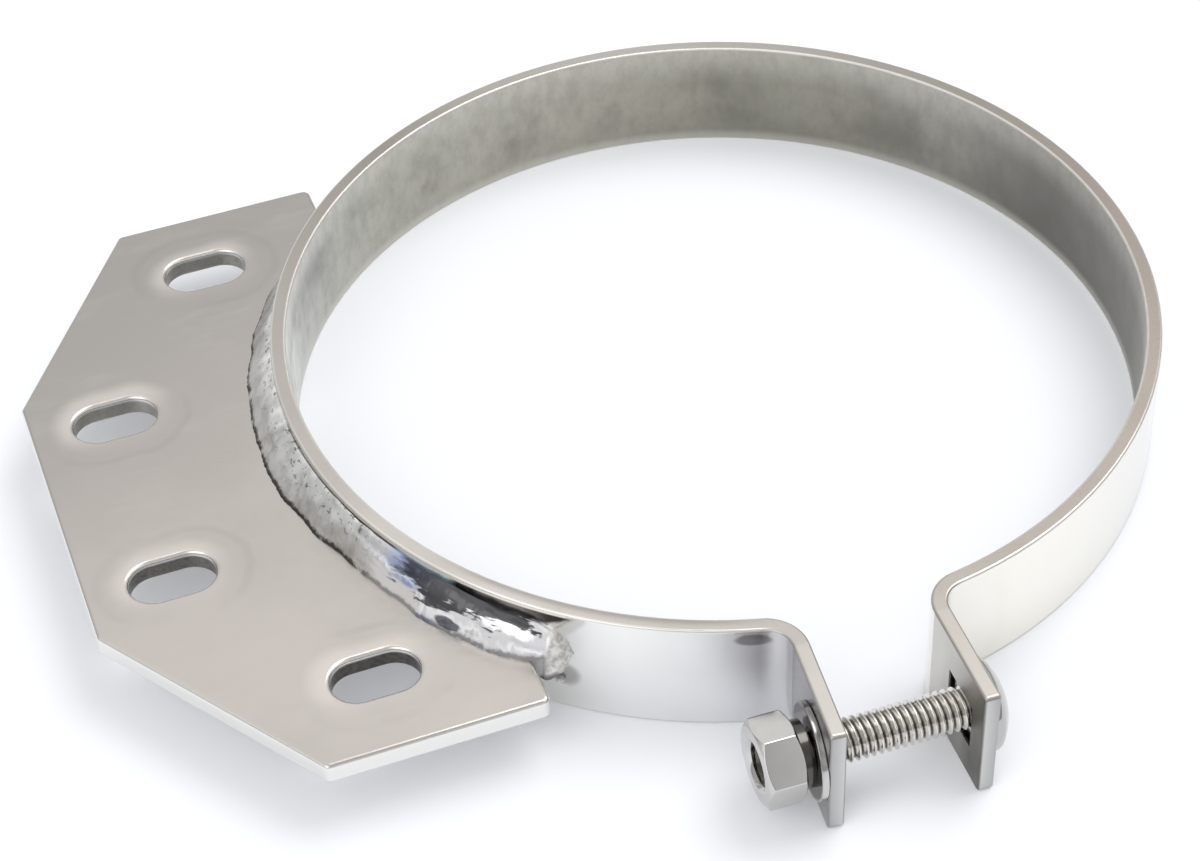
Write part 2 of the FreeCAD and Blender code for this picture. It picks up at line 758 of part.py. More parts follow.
def make_hex_nut():
    """A hexagon nut, chamfered on both faces, with a countersunk bore."""
    body = add_body("hex_nut")
    hexagon = add_sketch(body, "hexagon_outline", "YZ_Plane")
    shift_sketch(hexagon, z="-Sizes.nut_height", turn="Sizes.nut_phase")
    corner_radius = "(Sizes.nut_across_flats / 2 / cos(30 deg))"
    places = [
        (
            amount(corner_radius) * math.cos(math.radians(60 * i)),
            amount(corner_radius) * math.sin(math.radians(60 * i)),
        )
        for i in range(6)
    ]
    flats = closed_loop(hexagon, places)
    guide = circle(hexagon, corner_radius)
    hexagon.toggleConstruction(guide)
    for flat in flats:
        tie(hexagon, "PointOnObject", flat, 1, guide)
    for flat in flats[1:]:
        tie(hexagon, "Equal", flats[0], flat)
    tie(hexagon, "Horizontal", flats[1])
    blank = pad(body, hexagon, "nut_blank", "Sizes.nut_height")

    chamfers = add_sketch(body, "chamfer_outline", "XY_Plane")
    flat_radius = "(Sizes.nut_across_flats / 2)"
    outside = f"({corner_radius} + 1)"
    depth = f"(({outside} - {flat_radius}) * tan(Sizes.nut_chamfer_angle * 1 deg))"
    front = "(-Sizes.nut_height)"
    polygon(chamfers, [("0", flat_radius), ("0", outside), (f"(-{depth})", outside)])
    polygon(
        chamfers,
        [(front, flat_radius), (f"({front} + {depth})", outside), (front, outside)],
    )
    turned(body, chamfers, "corner_chamfers", "PartDesign::Groove", "H_Axis")

    bore_outline = add_sketch(body, "bore_outline", "XY_Plane")
    bore_radius = "(Sizes.bolt_diameter / 2 + Sizes.thread_clearance)"
    mouth_radius = f"({bore_radius} + Sizes.nut_mouth)"
    polygon(
        bore_outline,
        [
            (front, "0"),
            ("0", "0"),
            ("0", mouth_radius),
            ("(-Sizes.nut_mouth)", bore_radius),
            (f"({front} + Sizes.nut_mouth)", bore_radius),
            (front, mouth_radius),
        ],
    )
    turned(body, bore_outline, "bore", "PartDesign::Groove", "H_Axis")
    place_on_bolt(body, NUT_SEAT)
    return body


clamp_band = make_clamp_band()
mount_plate = make_mount_plate()
sub_parts = [
    clamp_band,
    mount_plate,
    make_upper_bead(mount_plate),
    make_lower_bead(),
    make_carriage_bolt(),
    make_flat_washer(),
    make_lock_washer(),
    make_hex_nut(),
]
doc.recompute()

for item in doc.Objects:
    if "Invalid" in item.State or "Error" in item.State:
        raise RuntimeError(f"{item.Label} did not build: {item.State}")
for item in sub_parts:
    if item.Shape.isNull() or not item.Shape.isValid():
        raise RuntimeError(f"{item.Label} has no valid shape")
    if len(item.Shape.Solids) != 1:
        raise RuntimeError(f"{item.Label} is {len(item.Shape.Solids)} solids")

os.makedirs("parts", exist_ok=True)
for item in sub_parts:
    item.Shape.exportStep(f"parts/{item.Label}.step")
    print(item.Label, round(item.Shape.Volume, 1), "mm3")
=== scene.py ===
import math

import bmesh
import bpy
from mathutils import Matrix, Vector, noise


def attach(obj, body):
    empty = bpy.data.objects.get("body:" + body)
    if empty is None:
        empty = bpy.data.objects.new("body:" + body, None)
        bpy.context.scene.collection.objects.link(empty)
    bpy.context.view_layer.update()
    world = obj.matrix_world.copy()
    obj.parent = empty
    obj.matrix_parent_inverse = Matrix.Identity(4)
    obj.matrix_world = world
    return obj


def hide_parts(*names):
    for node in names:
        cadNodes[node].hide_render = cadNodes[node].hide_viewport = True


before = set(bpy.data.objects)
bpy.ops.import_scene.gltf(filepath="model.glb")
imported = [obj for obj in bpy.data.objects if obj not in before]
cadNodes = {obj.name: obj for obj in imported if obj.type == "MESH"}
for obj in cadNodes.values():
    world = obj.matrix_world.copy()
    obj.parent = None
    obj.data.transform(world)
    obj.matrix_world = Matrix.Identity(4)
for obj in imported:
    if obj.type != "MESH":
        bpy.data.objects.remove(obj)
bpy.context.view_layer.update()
mm = 0.001
mergeGap = 0.004 * mm
print("frame loaded:", ", ".join(sorted(cadNodes)))


def paint(red, green, blue):
    # a colour from 0 to 255, as the linear light that Blender mixes
    def toLinear(level):
        level = level / 255
        return level / 12.92 if level <= 0.04045 else ((level + 0.055) / 1.055) ** 2.4

    return (toLinear(red), toLinear(green), toLinear(blue), 1.0)


class Wire:
    # an output in a node tree; sums on it add Math nodes
    def __init__(self, tree, socket=None):
        self.tree = tree
        self.socket = socket

    def node(self, kind, settings=None, inputs=None, output=0):
        made = self.tree.nodes.new("ShaderNode" + kind)
        for name, value in (settings or {}).items():
            if name == "stops":
                ramp = made.color_ramp.elements
                while len(ramp) < len(value):
                    ramp.new(0.5)
                for element, (position, colour) in zip(ramp, value):
                    element.position = position
                    element.color = colour
            else:
                setattr(made, name, value)
        for name, value in (inputs or {}).items():
            if isinstance(value, Wire):
                self.tree.links.new(value.socket, made.inputs[name])
            else:
                made.inputs[name].default_value = value
        return Wire(self.tree, made.outputs[output] if len(made.outputs) else None)

    def maths(self, operation, *values):
        return self.node("Math", {"operation": operation}, dict(enumerate((self,) + values)))

    def __add__(self, other):
        return self.maths("ADD", other)

    __radd__ = __add__

    def __sub__(self, other):
        return self.maths("SUBTRACT", other)

    def __rsub__(self, other):
        return self * -1 + other

    def __mul__(self, other):
        return self.maths("MULTIPLY", other)

    def __truediv__(self, other):
        return self.maths("DIVIDE", other)

    def __pow__(self, other):
        return self.maths("POWER", other)

    def __gt__(self, other):
        return self.maths("GREATER_THAN", other)

    def __lt__(self, other):
        return self.maths("LESS_THAN", other)

    def size(self):
        return self.maths("ABSOLUTE")

    def smaller(self, other):
        return self.maths("MINIMUM", other)

    def larger(self, other):
        return self.maths("MAXIMUM", other)

    def fade(self, start, end, low=0.0, high=1.0):
        # a smooth step from low at start to high at end
        return self.node(
            "MapRange",
            {"interpolation_type": "SMOOTHSTEP"},
            {"Value": self, "From Min": start, "From Max": end, "To Min": low, "To Max": high},
        )

    def ramp(self, *stops):
        return self.node("ValToRGB", {"stops": stops}, {"Fac": self})

    def blend(self, first, second):
        # self is the share of the second colour
        return self.node("Mix", {"data_type": "RGBA"}, {0: self, 6: first, 7: second}, output=2)


def newMaterial(name):
    material = bpy.data.materials.new(name)
    material.use_nodes = True
    material.node_tree.nodes.clear()
    return material, Wire(material.node_tree)


def finishMaterial(bench, shader):
    bench.node("OutputMaterial", None, {"Surface": shader})


def placeOnPiece(bench):
    # the point on the object in millimetres, as x, y and z, and the plain coordinate
    point = bench.node("TexCoord", output="Object")
    parts = [bench.node("SeparateXYZ", None, {"Vector": point}, output=axis) for axis in "XYZ"]
    return point, [part * 1000 for part in parts]


def speckle(bench, point, scale, detail=3.0, roughness=0.55, stretch=(1, 1, 1)):
    # noise on object coordinates; scale is in cells per metre
    placed = bench.node("Mapping", None, {"Vector": point, "Scale": stretch})
    return bench.node(
        "TexNoise",
        None,
        {"Vector": placed, "Scale": scale, "Detail": detail, "Roughness": roughness},
    )


# camera
cameraView = {
    "lens": 85.886,
    "place": (-0.154385, -0.386970, 0.375443),
    "turn": (46.38596, 1.84446, -20.35476),
    "sensor": 36,
    "clip": (0.01, 20),
}


def makeCamera():
    data = bpy.data.cameras.new("camera")
    data.lens = cameraView["lens"]
    data.sensor_width = cameraView["sensor"]
    data.clip_start, data.clip_end = cameraView["clip"]
    camera = bpy.data.objects.new("camera", data)
    camera.location = cameraView["place"]
    camera.rotation_euler = [math.radians(angle) for angle in cameraView["turn"]]
    bpy.context.scene.collection.objects.link(camera)
    bpy.context.scene.camera = camera


# floor, world and lamps
studio = {
    "floorHeight": -12.05 * mm,
    "floorReach": 4,
    "floorColour": paint(225, 227, 232),
    "floorLift": 0.16,
    "worldStrength": 0.77,
    "horizon": 0.42,
    "zenith": 1.2,
    "backdrop": 1.0,
    "backdropFrom": (0.55, 0.9),
    "shade": 0.5,
    "shadeWay": (-0.2, -0.52, 0.83),
    "shadeFrom": (0.72, 0.93),
    "keyPower": 12.0,
    "keySize": 1.2,
    "keyPlace": (0.75, 0.2, 1.5),
    "fillPower": 5.5,
    "fillSize": 1.4,
    "fillPlace": (-0.9, -0.7, 1.0),
}


def directRays(bench):
    # 1 for camera, glossy and transmission rays, 0 for the light that falls on the object
    camera = bench.node("LightPath", output="Is Camera Ray")
    glossy = bench.node("LightPath", output="Is Glossy Ray")
    through = bench.node("LightPath", output="Is Transmission Ray")
    return camera.larger(glossy).larger(through)


def makeStudio():
    mesh = bpy.data.meshes.new("floor")
    build = bmesh.new()
    bmesh.ops.create_grid(build, x_segments=1, y_segments=1, size=studio["floorReach"])
    bmesh.ops.translate(build, verts=build.verts, vec=(0, 0, studio["floorHeight"]))
    build.to_mesh(mesh)
    build.free()
    floor = bpy.data.objects.new("floor", mesh)
    bpy.context.scene.collection.objects.link(floor)
    material, bench = newMaterial("paleFloor")
    matt = bench.node("BsdfDiffuse", None, {"Color": studio["floorColour"]})
    seen = directRays(bench)
    # one even lift for the whole floor, so that every shadow on it is the object's own
    lift = bench.node("Emission", None, {"Strength": seen * studio["floorLift"]})
    finishMaterial(bench, bench.node("AddShader", None, {0: matt, 1: lift}))
    mesh.materials.append(material)

    world = bpy.data.worlds.new("studioWorld")
    bpy.context.scene.world = world
    world.use_nodes = True
    tree = world.node_tree
    tree.nodes.clear()
    bench = Wire(tree)
    seen = directRays(bench)
    # reflections see a studio that is darker at the horizon and in one fixed direction
    way = bench.node("TexCoord", output="Generated")
    backward, upward = (
        bench.node("SeparateXYZ", None, {"Vector": way}, output=axis) for axis in "YZ"
    )
    shown = upward.fade(0.0, 0.95, studio["horizon"], studio["zenith"])
    shown = shown.larger(backward.fade(*studio["backdropFrom"]) * studio["backdrop"])
    towards = bench.node(
        "VectorMath", {"operation": "DOT_PRODUCT"}, {0: way, 1: studio["shadeWay"]}, output="Value"
    )
    shown = shown * towards.fade(*studio["shadeFrom"], 1, 1 - studio["shade"])
    mirrored = bench.node("LightPath", output="Is Glossy Ray")
    shown = 1 - mirrored + mirrored * shown
    lit = seen * shown + (1 - seen) * studio["worldStrength"]
    glow = bench.node("Background", None, {"Color": (1, 1, 1, 1), "Strength": lit})
    bench.node("OutputWorld", None, {"Surface": glow})

    for name in ("key", "fill"):
        lamp = bpy.data.lights.new(name + "Lamp", "AREA")
        lamp.shape = "DISK"
        lamp.size = studio[name + "Size"]
        lamp.energy = studio[name + "Power"]
        holder = bpy.data.objects.new(name + "Lamp", lamp)
        holder.location = studio[name + "Place"]
        holder.rotation_euler = (-Vector(holder.location)).to_track_quat("-Z", "Y").to_euler()
        bpy.context.scene.collection.objects.link(holder)


def dress(piece, material):
    piece.data.materials.clear()
    piece.data.materials.append(material)


def finishPiece(name, build, material, body, crease=40):
    # turns a bmesh into a shaded piece that rides on a CAD body
    bmesh.ops.remove_doubles(build, verts=build.verts, dist=mergeGap)
    bmesh.ops.recalc_face_normals(build, faces=build.faces)
    # spin and fill order their faces anew on each run, so the mesh is written out sorted
    verts = sorted(build.verts, key=lambda vert: tuple(vert.co))
    number = {vert: place for place, vert in enumerate(verts)}
    loops = []
    for face in build.faces:
        loop = [number[vert] for vert in face.verts]
        start = loop.index(min(loop)) if len(loop) > 4 else 0
        loops.append(loop[start:] + loop[:start])
    mesh = bpy.data.meshes.new(name)
    mesh.from_pydata([tuple(vert.co) for vert in verts], [], sorted(loops))
    build.free()
    mesh.shade_smooth()
    mesh.set_sharp_from_angle(angle=math.radians(crease))
    mesh.materials.append(material)
    piece = bpy.data.objects.new(name, mesh)
    bpy.context.scene.collection.objects.link(piece)
    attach(piece, body)
    print("made", name, len(mesh.polygons), "faces")
    return piece


def polyline(build, points, close=False):
    # a chain of edges through (along, outward) points in millimetres, in the XZ plane
    verts = [build.verts.new((along * mm, 0, outward * mm)) for along, outward in points]
    pairs = list(zip(verts, verts[1:])) + ([(verts[-1], verts[0])] if close else [])
    edges = [build.edges.new(pair) for pair in pairs]
    return verts + edges


def turnProfile(build, points, steps, close=False):
    # a full turn about the X axis
    chain = polyline(build, points, close)
    bmesh.ops.spin(
        build,
        geom=chain,
        cent=(0, 0, 0),
        axis=(1, 0, 0),
        angle=math.tau,
        steps=steps,
        use_merge=True,
    )


def between(table, place):
    # a value read off a short table of (place, value), eased between its rows
    if place <= table[0][0]:
        return table[0][1]
    for (before, low), (after, high) in zip(table, table[1:]):
        if place <= after:
            share = (place - before) / (after - before)
            return low + (high - low) * share * share * (3 - 2 * share)
    return table[-1][1]


# carriage bolt
bolt = {
    "middle": (-7.2355, -100.9410, 0.0),
    "turn": -1.9,
    "pitch": 25.4 / 18,
    "crest": 3.95,
    "root": 3.13,
    "end": -23.30,
    "endChamfer": 0.9,
    "endShrink": 0.74,
    "neckStart": 12.6,
    "neckBury": 0.4,
    "neckShrink": 0.9,
    "neckWidth": 7.95,
    "neckRound": 1.0,
    "neckRoundSteps": 5,
    "seat": 14.80,
    "headRadius": 8.7,
    "headRim": 1.6,
    "headHeight": 4.9,
    "headSteps": 96,
    "domeSteps": 14,
    "stepsPerTurn": 40,
}


def boltPlace():
    return Matrix.Translation(Vector(bolt["middle"]) * mm) @ Matrix.Rotation(
        math.radians(bolt["turn"]), 4, "Z"
    )


def threadProfile(pitch, crest, root):
    # one pitch of a rolled thread, with small rounds at the crest and the root
    depth = crest - root
    return [
        (0.0, root + 0.08 * depth),
        (0.08 * pitch, root),
        (0.16 * pitch, root + 0.08 * depth),
        (0.46 * pitch, crest - 0.12 * depth),
        (0.51 * pitch, crest - 0.02 * depth),
        (0.58 * pitch, crest),
        (0.65 * pitch, crest - 0.02 * depth),
        (0.70 * pitch, crest - 0.12 * depth),
        (pitch, root + 0.08 * depth),
    ]


def makeBolt(material):
    build = bmesh.new()
    pitch = bolt["pitch"]
    start = bolt["end"] - 2 * pitch
    turns = math.ceil((bolt["neckStart"] - start) / pitch) + 1
    steps = bolt["stepsPerTurn"]
    profile = threadProfile(pitch, bolt["crest"], bolt["root"])
    chain = polyline(build, [(start + along, outward) for along, outward in profile])
    bmesh.ops.spin(
        build,
        geom=chain,
        cent=(0, 0, 0),
        axis=(1, 0, 0),
        dvec=(pitch / steps * mm, 0, 0),
        angle=math.tau * turns,
        steps=steps * turns,
    )
    bmesh.ops.remove_doubles(build, verts=build.verts, dist=mergeGap)
    # both ends are cut square and capped; the cap on the head's side is hidden in the neck
    neckStart, bury = bolt["neckStart"], bolt["neckBury"]
    cuts = (
        (bolt["end"] + bolt["endChamfer"], True, bolt["end"], bolt["endShrink"]),
        (neckStart + bury, False, neckStart + 2 * bury, bolt["neckShrink"]),
    )
    for cut, clearBelow, capPlace, shrink in cuts:
        bmesh.ops.bisect_plane(
            build,
            geom=list(build.verts) + list(build.edges) + list(build.faces),
            plane_co=(cut * mm, 0, 0),
            plane_no=(1, 0, 0),
            clear_inner=clearBelow,
            clear_outer=not clearBelow,
        )
        rim = [
            edge
            for edge in build.edges
            if edge.is_boundary and all(abs(v.co.x - cut * mm) < 0.01 * mm for v in edge.verts)
        ]
        grown = bmesh.ops.extrude_edge_only(build, edges=rim)["geom"]
        moved = [item for item in grown if isinstance(item, bmesh.types.BMVert)]
        bmesh.ops.scale(build, vec=(1, shrink, shrink), verts=moved)
        bmesh.ops.translate(build, vec=((capPlace - cut) * mm, 0, 0), verts=moved)
        rim = [item for item in grown if isinstance(item, bmesh.types.BMEdge)]
        bmesh.ops.edgeloop_fill(build, edges=[edge for edge in rim if edge.is_boundary])

    # square neck with rounded corners
    rounding, roundSteps = bolt["neckRound"], bolt["neckRoundSteps"]
    inner = bolt["neckWidth"] / 2 - rounding
    section = []
    for quarter, (side, up) in enumerate(((1, 1), (-1, 1), (-1, -1), (1, -1))):
        for step in range(roundSteps + 1):
            angle = math.radians(90 * (quarter + step / roundSteps))
            across = side * inner + rounding * math.cos(angle)
            section.append((across * mm, (up * inner + rounding * math.sin(angle)) * mm))
    near, far = (
        [build.verts.new((along * mm, across, height)) for across, height in section]
        for along in (neckStart, bolt["seat"])
    )
    build.faces.new(near)
    build.faces.new(far)
    for place in range(len(section)):
        build.faces.new((near[place - 1], near[place], far[place], far[place - 1]))

    # domed head
    seat, radius, rim = bolt["seat"], bolt["headRadius"], bolt["headRim"]
    rise = bolt["headHeight"] - rim
    dome = (rise**2 + radius**2) / (2 * rise)
    centre = seat + bolt["headHeight"] - dome
    shoulder = math.asin((radius - 0.35) / dome)
    outline = [(seat, 0.0), (seat, radius - 0.3), (seat + 0.1, radius - 0.08), (seat + 0.3, radius)]
    outline += [(seat + rim - 0.45, radius), (seat + rim - 0.2, radius - 0.06)]
    domeSteps = bolt["domeSteps"]
    for step in range(domeSteps, -1, -1):
        angle = shoulder * step / domeSteps
        outline.append((centre + dome * math.cos(angle), dome * math.sin(angle)))
    turnProfile(build, outline, bolt["headSteps"])
    bmesh.ops.transform(build, matrix=boltPlace(), verts=build.verts)
    piece = finishPiece("threadedBolt", build, material, "bracket", 50)
    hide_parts("carriage_bolt")


# hex nut with rounded edges; stations run from the bore out over the front face and back
nut = {
    "front": -25.666,
    "height": 7.0,
    "flat": 7.1,
    "cornerRound": 0.5,
    "bore": 4.02,
    "mouth": 0.7,
    "faceRadius": 6.9,
    "edgeRound": 0.16,
    "phase": 46,
    "offCorner": (-22, -14, -7, -3, -1.78, -1.2, -0.6, 0, 0.6, 1.2, 1.78, 3, 7, 14, 22, 30),
}


def nutReach(offCorner):
    # distance from the bolt's line to the rounded hexagon, by angle away from a corner
    rounding = nut["cornerRound"]
    centre = (nut["flat"] - rounding) / math.cos(math.radians(30))
    gap = math.radians(abs(offCorner))
    if centre * math.sin(gap) <= rounding * 0.5:
        return centre * math.cos(gap) + math.sqrt(rounding**2 - (centre * math.sin(gap)) ** 2)
    return nut["flat"] / math.cos(math.radians(30) - gap)


def nutHalf(reach):
    # (depth from the face, radius) from the bore to a flat
    face, soft, mouth = nut["faceRadius"], nut["edgeRound"], nut["mouth"]
    depth = (reach - face) * math.tan(math.radians(30))
    return [
        (mouth, nut["bore"]),
        (0.06, nut["bore"] + mouth - 0.06),
        (0, nut["bore"] + mouth + 0.06),
        (0, face - soft),
        (soft * 0.08, face),
        (soft * 0.4, face + soft * 0.7) if depth > soft else (soft * 0.3, face + soft * 0.4),
        (max(depth - soft * 0.3, soft * 0.45), reach - soft * 0.3),
        (depth + soft * 0.3, reach - soft * 0.04),
        (depth + soft, reach),
    ]


def makeNut(material):
    build = bmesh.new()
    angles = [60 * sector + off for sector in range(6) for off in nut["offCorner"]]
    angles.insert(0, -30)
    stations = 2 * len(nutHalf(8))
    bmesh.ops.create_grid(build, x_segments=len(angles) - 1, y_segments=stations, size=1)
    for vert in build.verts:
        angle = angles[round((vert.co.x + 1) / 2 * (len(angles) - 1))]
        half = nutHalf(nutReach((angle + 30) % 60 - 30))
        loop = half + [(nut["height"] - depth, reach) for depth, reach in reversed(half)]
        depth, reach = loop[round((vert.co.y + 1) / 2 * stations) % stations]
        turn = math.radians(angle + nut["phase"])
        vert.co = Vector(
            (nut["front"] + depth, reach * math.cos(turn), reach * math.sin(turn))
        ) * mm
    bmesh.ops.transform(build, matrix=boltPlace(), verts=build.verts)
    piece = finishPiece("roundedNut", build, material, "nut", 24)
    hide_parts("hex_nut")


# the nut's own thread, which shows in its mouth
nutThread = {"start": -25.25, "turns": 1.15, "wall": 4.06, "ridge": 3.42, "steps": 56}


def makeNutThread(material):
    build = bmesh.new()
    start, wall, ridge = nutThread["start"], nutThread["wall"], nutThread["ridge"]
    pitch = bolt["pitch"]
    profile = [(0, wall), (0.36 * pitch, ridge), (0.48 * pitch, ridge), (0.84 * pitch, wall)]
    chain = polyline(build, [(start + along, outward) for along, outward in profile], True)
    turns, steps = nutThread["turns"], nutThread["steps"]
    bmesh.ops.spin(
        build,
        geom=chain,
        cent=(0, 0, 0),
        axis=(1, 0, 0),
        dvec=(pitch * turns / steps * mm, 0, 0),
        angle=math.tau * turns,
        steps=steps,
    )
    bmesh.ops.holes_fill(build, edges=[edge for edge in build.edges if edge.is_boundary])
    bmesh.ops.transform(build, matrix=boltPlace(), verts=build.verts)
    piece = finishPiece("nutThread", build, material, "nut", 30)


# upper weld bead; each table holds (azimuth in degrees, millimetres)
weldBead = {
    "bandRadius": 85.5,
    "plateLeg": [
        (136.6, 0), (139, 1.3), (143, 3.2), (150, 4.6), (166, 5.4), (184, 5.6), (193, 4.6),
        (199, 3.7), (208, 3.7), (214, 4.9), (222, 5.3), (226.0, 5.2), (228.6, 4.3),
        (230.5, 2.6), (231.4, 0),
    ],
    "crest": [
        (136.6, 2.9), (139, 4.6), (144, 8.0), (156, 9.2), (180, 9.8), (196, 10.6), (205, 10.5),
        (214, 9.6), (222, 8.8), (226.5, 8.2), (229.2, 6.8), (230.8, 4.8), (231.4, 2.8),
    ],
    "foot": [
        (136.6, 2.8), (138, 2.7), (223.5, 2.7), (225.5, 1.8), (227.5, -0.2), (229.4, -1.2),
        (230.6, -0.4), (231.4, 2.4),
    ],
    "bulge": [
        (136.6, 0.0), (150, 0.3), (190, 0.35), (212, 0.6), (222, 0.9), (227, 1.1), (229.8, 0.9),
        (231.4, 0.2),
    ],
    "stations": 440,
    "acrossFace": 22,
    "acrossHidden": 4,
    "endLengths": (1.5, 0.8),
    "wander": 0.34,
    "ragged": 0.18,
    "crestWander": 0.3,
    "facet": 0.12,
    "grit": 0.03,
    "tipStart": 228.2,
    "polishedFrom": 203,
    "polishedTo": 228,
    "plateEnd": 224,
    "bite": 0.12,
    "inset": 0.15,
    "spatterAzimuth": 229.6,
    "spatterReach": 85.8,
    "spatterHeight": -4.7,
    "spatterRadius": 0.85,
    "spatterFlatten": 0.8,
}


def makeWeld():
    build = bmesh.new()
    across = weldBead["acrossFace"] + weldBead["acrossHidden"]
    bmesh.ops.create_grid(build, x_segments=weldBead["stations"], y_segments=across, size=1)
    first, last = weldBead["plateLeg"][0][0], weldBead["plateLeg"][-1][0]
    startLength, endLength = weldBead["endLengths"]
    radius = weldBead["bandRadius"]
    inset = weldBead["inset"]
    faceShare = weldBead["acrossFace"] / across
    for vert in build.verts:
        azimuth = first + (last - first) * (vert.co.x + 1) / 2
        share = (vert.co.y + 1) / 2
        arc = azimuth * math.pi / 180 * radius
        end = min(1, (azimuth - first) / startLength, (last - azimuth) / endLength)
        wander = noise.noise((arc * 0.16, 3.1, 0)) + 0.5 * noise.noise((arc * 0.55, 7.7, 0))
        leg = between(weldBead["plateLeg"], azimuth) + weldBead["wander"] * wander * end
        ragged = noise.noise((arc * 1.9, 1.3, 0)) * weldBead["ragged"] * end
        foot = between(weldBead["foot"], azimuth)
        crest = between(weldBead["crest"], azimuth)
        crest += weldBead["crestWander"] * noise.noise((arc * 0.3, 9.9, 2)) * end
        bulge = between(weldBead["bulge"], azimuth)
        bite = weldBead["bite"] if azimuth < weldBead["plateEnd"] else 0
        if share <= faceShare:
            # the face that shows, from the plate up to the band
            q = share / faceShare
            outward = max(leg + ragged, 0) * (1 - q)
            height = foot + (crest - foot) * q
            slope = math.atan2(max(leg, 0.01), max(crest - foot, 0.01))
            full = 4 * q * (1 - q)
            ground = (azimuth - weldBead["polishedFrom"]) / 4
            polished = max(0, min(1, ground, (weldBead["polishedTo"] - azimuth) / 2))
            facet = noise.noise((arc * 0.42, q * 2.2, 5)) * weldBead["facet"]
            facet *= 1 - 0.6 * polished
            facet += noise.noise((arc * 1.3, q * 4.0, 8)) * weldBead["facet"] * 0.35
            rough = noise.noise((arc * 4.2, q * 14, 1)) * weldBead["grit"]
            tip = max(0, min(1, azimuth - weldBead["tipStart"]))
            tip *= max(0, min(1, (0.75 - q) / 0.2))
            surface = facet * (1 - 0.5 * tip) + rough * (1 + 7 * tip)
            lift = bulge * full * (0.35 + 1.3 * q) + surface * min(1, full * 2) * end
            outward += lift * math.cos(slope)
            height += lift * math.sin(slope)
            if q < 0.04:
                height -= bite
            if q > 0.96:
                outward -= inset
        else:
            # the hidden side, back down inside the band and the plate
            q = (share - faceShare) / (1 - faceShare)
            outward = -inset - inset * math.sin(math.pi * q)
            height = crest + (foot - crest) * q
            if q > 0.75:
                outward = -inset + (max(leg + ragged, 0) + inset) * (q - 0.75) * 4
                height = foot - bite
        turn = math.radians(azimuth)
        reach = radius + outward
        vert.co = Vector((reach * math.cos(turn), reach * math.sin(turn), height)) * mm
    return build


def makeUpperWeld(material):
    build = makeWeld()
    # a ball of spatter under the bead's near end
    radius = weldBead["spatterRadius"] * mm
    ball = bmesh.ops.create_icosphere(build, subdivisions=3, radius=radius)["verts"]
    bmesh.ops.scale(build, vec=(1, 1, weldBead["spatterFlatten"]), verts=ball)
    turn, reach = math.radians(weldBead["spatterAzimuth"]), weldBead["spatterReach"]
    place = Vector((reach * math.cos(turn), reach * math.sin(turn), weldBead["spatterHeight"]))
    bmesh.ops.translate(build, vec=place * mm, verts=ball)
    piece = finishPiece("dressedWeld", build, material, "bracket", 70)
    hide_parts("weld_bead_upper")


# clamp band finish
bandFinish = {
    "insideRadius": 82.5,
    "outsideRadius": 85.5,
    "wallTop": 11.75,
    "earAzimuth": -94.1,
    "bendAngles": (11, 13),
    "earStart": 88.6,
    "earStop": 109.9,
    "earTipMiddle": (110.1, 12.5),
    "earSplay": 0.0384,
    "outer": paint(226, 224, 219),
    "outerWarm": paint(246, 243, 234),
    "darkLens": paint(112, 111, 110),
    "earInner": paint(214, 212, 206),
    "earInnerShade": paint(104, 103, 99),
    "earOuter": paint(196, 195, 196),
    "earEnd": paint(236, 235, 231),
    "heat": paint(56, 55, 56),
    "cyanReflection": paint(214, 240, 250),
}


